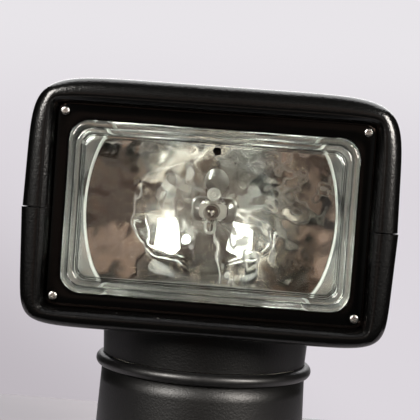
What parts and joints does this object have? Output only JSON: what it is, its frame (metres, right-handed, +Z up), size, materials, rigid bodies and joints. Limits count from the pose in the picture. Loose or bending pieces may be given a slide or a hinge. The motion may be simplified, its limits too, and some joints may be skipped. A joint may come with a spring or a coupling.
{
  "type": "marine searchlight",
  "caption": "Remote-controlled marine searchlight: black rectangular lamp head with a glass front and mirror reflector, tilting on a turning neck above a round bolt-down column.",
  "frame": {"origin": "centre of the deck bolt circle, on the underside of the deck gasket", "axes": "+Z up along the pan axis, the lamp faces -Y, +X to the right seen from behind the lamp"},
  "size_m": [0.215, 0.1822, 0.2603],
  "materials": {
    "black_plastic": "fine-grained black moulded plastic, satin",
    "bezel_plastic": "smooth black plastic, half gloss",
    "gland_plastic": "plain black plastic",
    "rubber": "black rubber, satin",
    "steel": "bright stainless steel",
    "motor_steel": "plated steel can",
    "alloy": "plain aluminium",
    "acetal": "natural white gear plastic",
    "bronze": "plain bearing bronze",
    "board_green": "green circuit board",
    "lens_glass": "clear pressed glass with a green tinge in its edge",
    "mirror_metal": "bright aluminised reflector",
    "lamp_glass": "clear lamp glass",
    "arc_ceramic": "white lamp ceramic"
  },
  "bodies": {
    "base": {"base_gasket": "rubber", "base_housing": "black_plastic", "base_plate": "alloy", "base_plate_screws": "steel", "cable_gland": "gland_plastic", "gland_locknut": "gland_plastic", "ballast": "alloy", "control_board": "board_green", "board_posts": "steel", "pan_motor": "motor_steel", "pan_motor_screws": "steel", "pan_spindle": "steel", "spindle_screws": "steel", "spindle_nut": "bronze", "thrust_washer": "acetal", "neck_seal": "rubber"},
    "pan_gear": {"pan_pinion": "acetal"},
    "neck": {"neck_shell": "black_plastic", "neck_cap": "black_plastic", "neck_cap_screws": "steel", "pan_ring_gear": "acetal", "ring_gear_screws": "steel", "pan_bush": "bronze", "tilt_axle": "steel", "axle_clips": "steel", "tilt_sector": "acetal"},
    "head": {"upper_shell": "black_plastic", "lower_shell": "black_plastic", "shell_screws": "steel", "belly_pan": "black_plastic", "belly_pan_screws": "steel", "tilt_bushes": "bronze", "tilt_motor": "motor_steel", "tilt_motor_bracket": "alloy", "tilt_motor_screws": "steel", "bezel": "bezel_plastic", "bezel_screws": "steel", "lens": "lens_glass", "lens_gasket": "rubber", "reflector": "mirror_metal", "bulb_capsule": "lamp_glass", "bulb_filament": "steel", "bulb_bracket": "steel", "bulb_return_wire": "arc_ceramic", "bulb_collar": "steel", "bulb_clip": "steel", "bulb_socket": "gland_plastic"},
    "tilt_gear": {"tilt_pinion": "acetal"}
  },
  "joints": [
    {"name": "pan", "type": "hinge", "parent": "base", "child": "neck", "pos_m": [0, 0, 0.09], "axis": [0, 0, 1], "range_deg": [-180, 180]},
    {"name": "pan_drive", "type": "hinge", "parent": "base", "child": "pan_gear", "pos_m": [0.04, 0, 0.09], "axis": [0, 0, 1], "range_deg": [-905, 905]},
    {"name": "tilt", "type": "hinge", "parent": "neck", "child": "head", "pos_m": [0, 0, 0.128], "axis": [-1, 0, 0], "range_deg": [-15, 45]},
    {"name": "tilt_drive", "type": "hinge", "parent": "head", "child": "tilt_gear", "pos_m": [0, 0.018, 0.15918], "axis": [-1, 0, 0], "range_deg": [-80, 230]}
  ],
  "couplings": [
    {"joint": "pan_drive", "follows": "pan", "ratio": 5},
    {"joint": "tilt_drive", "follows": "tilt", "ratio": 5}
  ]
}
